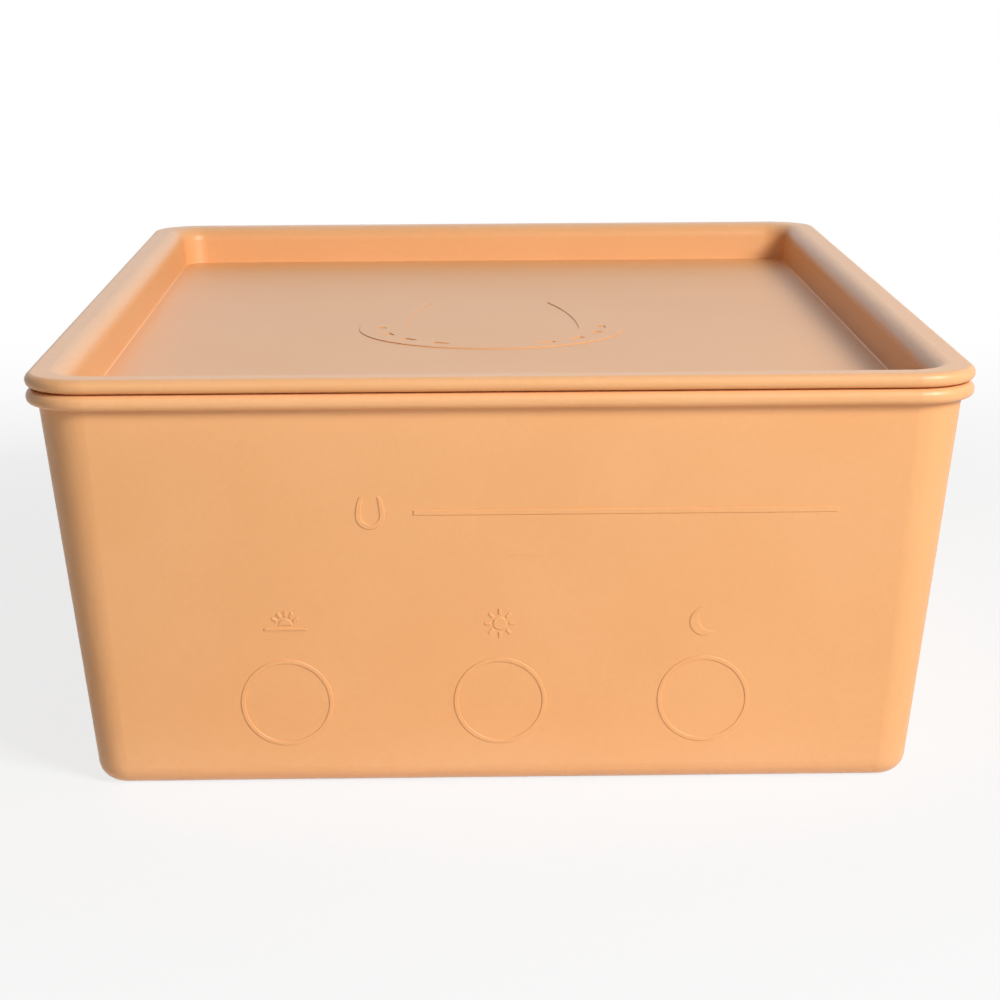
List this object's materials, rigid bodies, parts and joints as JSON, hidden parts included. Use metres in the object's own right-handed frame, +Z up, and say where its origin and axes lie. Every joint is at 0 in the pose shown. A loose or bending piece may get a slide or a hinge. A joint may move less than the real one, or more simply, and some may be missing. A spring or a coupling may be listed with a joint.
{
  "type": "lidded horse feed box",
  "caption": "Rectangular plastic feed tub with leaning walls and a beaded rim, closed by a lift-off lid with a sunken tray on top.",
  "frame": {"origin": "middle of the base, on the ground", "axes": "+Z up, the lid lifts off along it; +X across the front; -Y out of the marked front wall, so +Y runs to the back, along the longest side"},
  "size_m": [0.264, 0.372, 0.1203],
  "materials": {
    "tub_plastic": "satin moulded polypropylene, apricot",
    "lid_plastic": "satin moulded polypropylene, apricot"
  },
  "bodies": {
    "tub": {"tub": "tub_plastic"},
    "lid": {"lid": "lid_plastic"}
  },
  "joints": [
    {"name": "lid_lift", "type": "slide", "parent": "tub", "child": "lid", "axis": [0, 0, 1], "range_m": [0, 0.2]}
  ]
}
